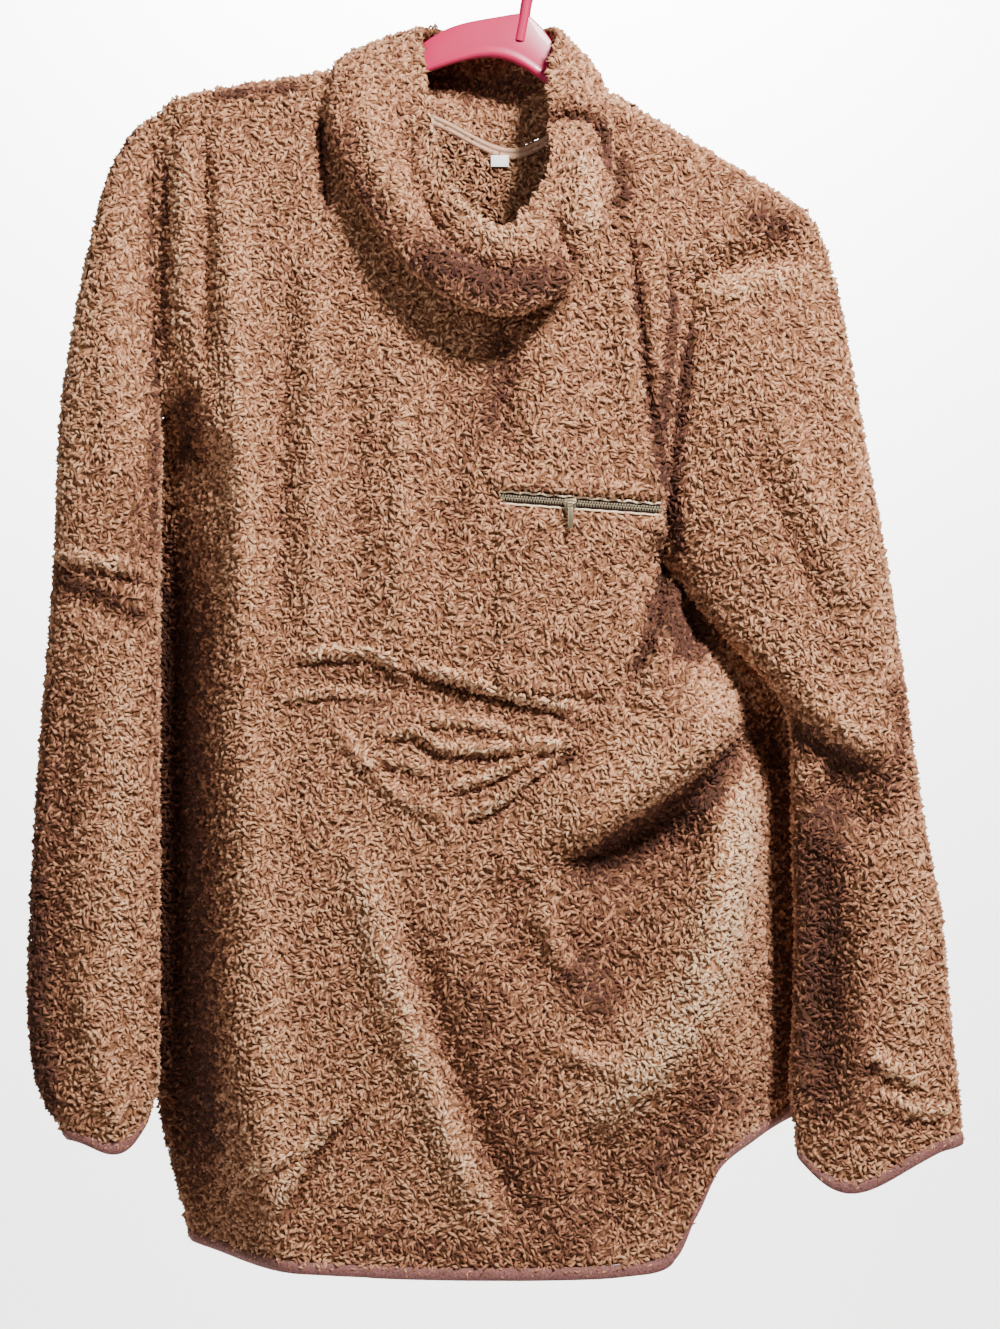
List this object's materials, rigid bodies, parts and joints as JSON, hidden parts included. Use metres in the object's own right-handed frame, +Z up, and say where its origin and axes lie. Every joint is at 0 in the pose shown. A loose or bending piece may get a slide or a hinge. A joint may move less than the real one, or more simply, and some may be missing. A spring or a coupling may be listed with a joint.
{
  "type": "plush pullover on a hanger",
  "caption": "Plush fleece pullover with a funnel collar and a zipped chest pocket, hung askew on a plastic hanger; bound hem and cuffs.",
  "frame": {"origin": "inside top of the hanger's hook, where a rail or a peg holds it", "axes": "+Z up, along the garment's length; the front faces -Y; +X is to the right as one looks at the front"},
  "size_m": [0.5629, 0.1066, 0.8328],
  "materials": {
    "plush_fleece": "curly plush pile",
    "knit_binding": "fine knitted binding",
    "zip_tape": "woven tape",
    "zip_metal": "pale polished metal",
    "label_cloth": "smooth woven",
    "pink_plastic": "glossy moulded"
  },
  "bodies": {
    "garment": {"body_front": "plush_fleece", "body_back": "plush_fleece", "sleeve_right": "plush_fleece", "sleeve_left": "plush_fleece", "collar": "plush_fleece", "chest_pocket": "plush_fleece", "pocket_welt": "plush_fleece", "zip_tapes": "zip_tape", "zip_slider": "zip_metal", "hem_binding_front": "knit_binding", "hem_binding_back": "knit_binding", "cuff_binding_right": "knit_binding", "cuff_binding_left": "knit_binding", "neck_tape": "knit_binding", "neck_label": "label_cloth", "hanger": "pink_plastic"},
    "pull": {"zip_pull": "zip_metal"}
  },
  "joints": [
    {"name": "pull_swing", "type": "hinge", "parent": "garment", "child": "pull", "pos_m": [0.015, -0.04596, -0.3627], "axis": [-1, 0, 0], "range_deg": [0, 150]}
  ]
}
